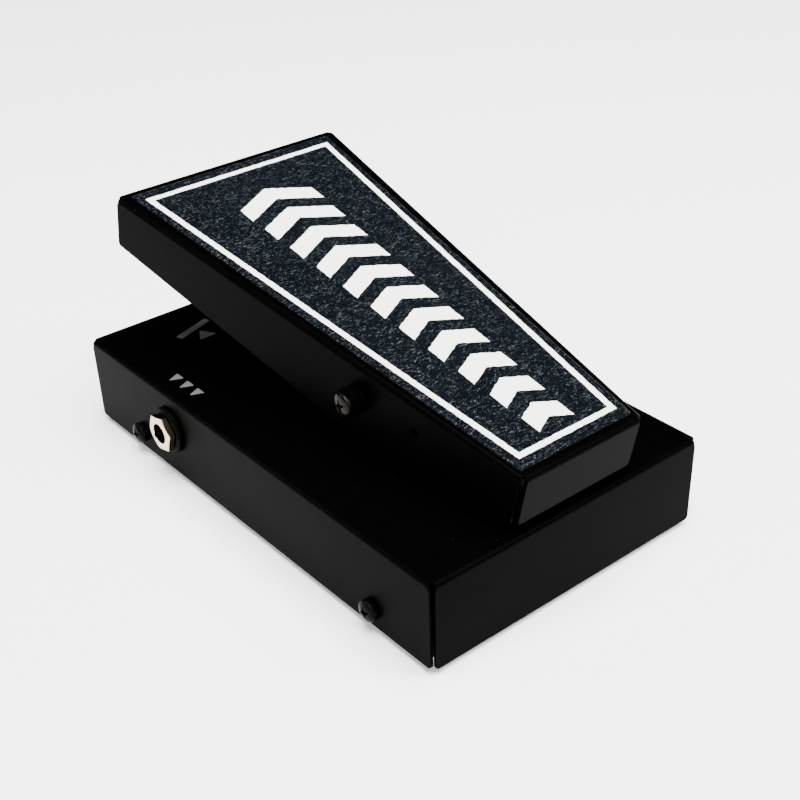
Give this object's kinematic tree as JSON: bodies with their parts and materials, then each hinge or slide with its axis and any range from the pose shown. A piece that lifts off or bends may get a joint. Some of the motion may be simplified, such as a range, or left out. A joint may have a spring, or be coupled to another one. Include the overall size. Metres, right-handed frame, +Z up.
{
  "type": "guitar effects pedal",
  "caption": "Black sheet-metal rocker pedal for a guitar: a tapered treadle with a grip sheet rocks over a shallow folded case with jacks in its sides.",
  "frame": {"origin": "on the floor, under the middle of the base shell", "axes": "+X towards the input-jack side, +Y towards the toe, +Z up"},
  "size_m": [0.1106, 0.179, 0.0841],
  "materials": {
    "black_powder_coat": "fine black powder coat on folded sheet steel",
    "black_plastic": "moulded black plastic",
    "black_nickel": "dark nickel plate on steel",
    "nickel": "bright nickel plate",
    "zinc_plate": "zinc plated steel",
    "steel": "bare steel",
    "brass": "turned brass",
    "aluminium": "drawn aluminium",
    "rubber": "moulded black rubber",
    "nylon": "black bearing nylon",
    "grip_sheet": "coarse mineral grip sheet with printed border",
    "circuit_board_green": "glass epoxy board with green mask",
    "clear_plastic": "clear moulded lens",
    "wire_sleeve": "vinyl wire sleeve"
  },
  "bodies": {
    "base": {"amplifier_chip": "black_plastic", "base_plate": "zinc_plate", "base_shell": "black_powder_coat", "battery": "aluminium", "battery_lead": "wire_sleeve", "battery_snap": "black_plastic", "board_screw_1": "steel", "board_screw_2": "steel", "board_screw_3": "steel", "board_screw_4": "steel", "board_standoff_1": "brass", "board_standoff_2": "brass", "board_standoff_3": "brass", "board_standoff_4": "brass", "bracket_screw_1": "steel", "bracket_screw_2": "steel", "bracket_screw_3": "steel", "bracket_screw_4": "steel", "capacitor_1": "aluminium", "capacitor_2": "aluminium", "circuit_board": "circuit_board_green", "emitter_led": "clear_plastic", "foot_heel_left": "rubber", "foot_heel_right": "rubber", "foot_toe_left": "rubber", "foot_toe_right": "rubber", "heel_buffer": "rubber", "input_jack": "black_plastic", "input_jack_nut": "nickel", "input_jack_washer": "black_plastic", "input_lead": "wire_sleeve", "opto_block": "black_plastic", "output_jack": "black_plastic", "output_jack_nut": "nickel", "output_jack_washer": "black_plastic", "output_lead": "wire_sleeve", "photocell": "clear_plastic", "pivot_bracket": "black_powder_coat", "pivot_bushing_left": "nylon", "pivot_bushing_right": "nylon", "pivot_locknut_left": "zinc_plate", "pivot_locknut_right": "zinc_plate", "pivot_screw_left": "black_nickel", "pivot_screw_right": "black_nickel", "pivot_washer_left": "black_plastic", "pivot_washer_right": "black_plastic", "power_lead": "wire_sleeve", "power_socket": "black_plastic", "power_socket_nut": "nickel", "side_screw_heel_left": "black_nickel", "side_screw_heel_right": "black_nickel", "side_screw_toe_left": "black_nickel", "side_screw_toe_right": "black_nickel", "toe_buffer": "rubber"},
    "treadle": {"treadle_shell": "black_powder_coat", "tread_pad": "grip_sheet", "shutter_vane": "steel", "vane_screw_heel": "steel", "vane_screw_toe": "steel"}
  },
  "joints": [
    {"name": "treadle_hinge", "type": "hinge", "parent": "base", "child": "treadle", "pos_m": [0, -0.0306, 0.05195], "axis": [-1, 0, 0], "range_deg": [0, 18]}
  ]
}
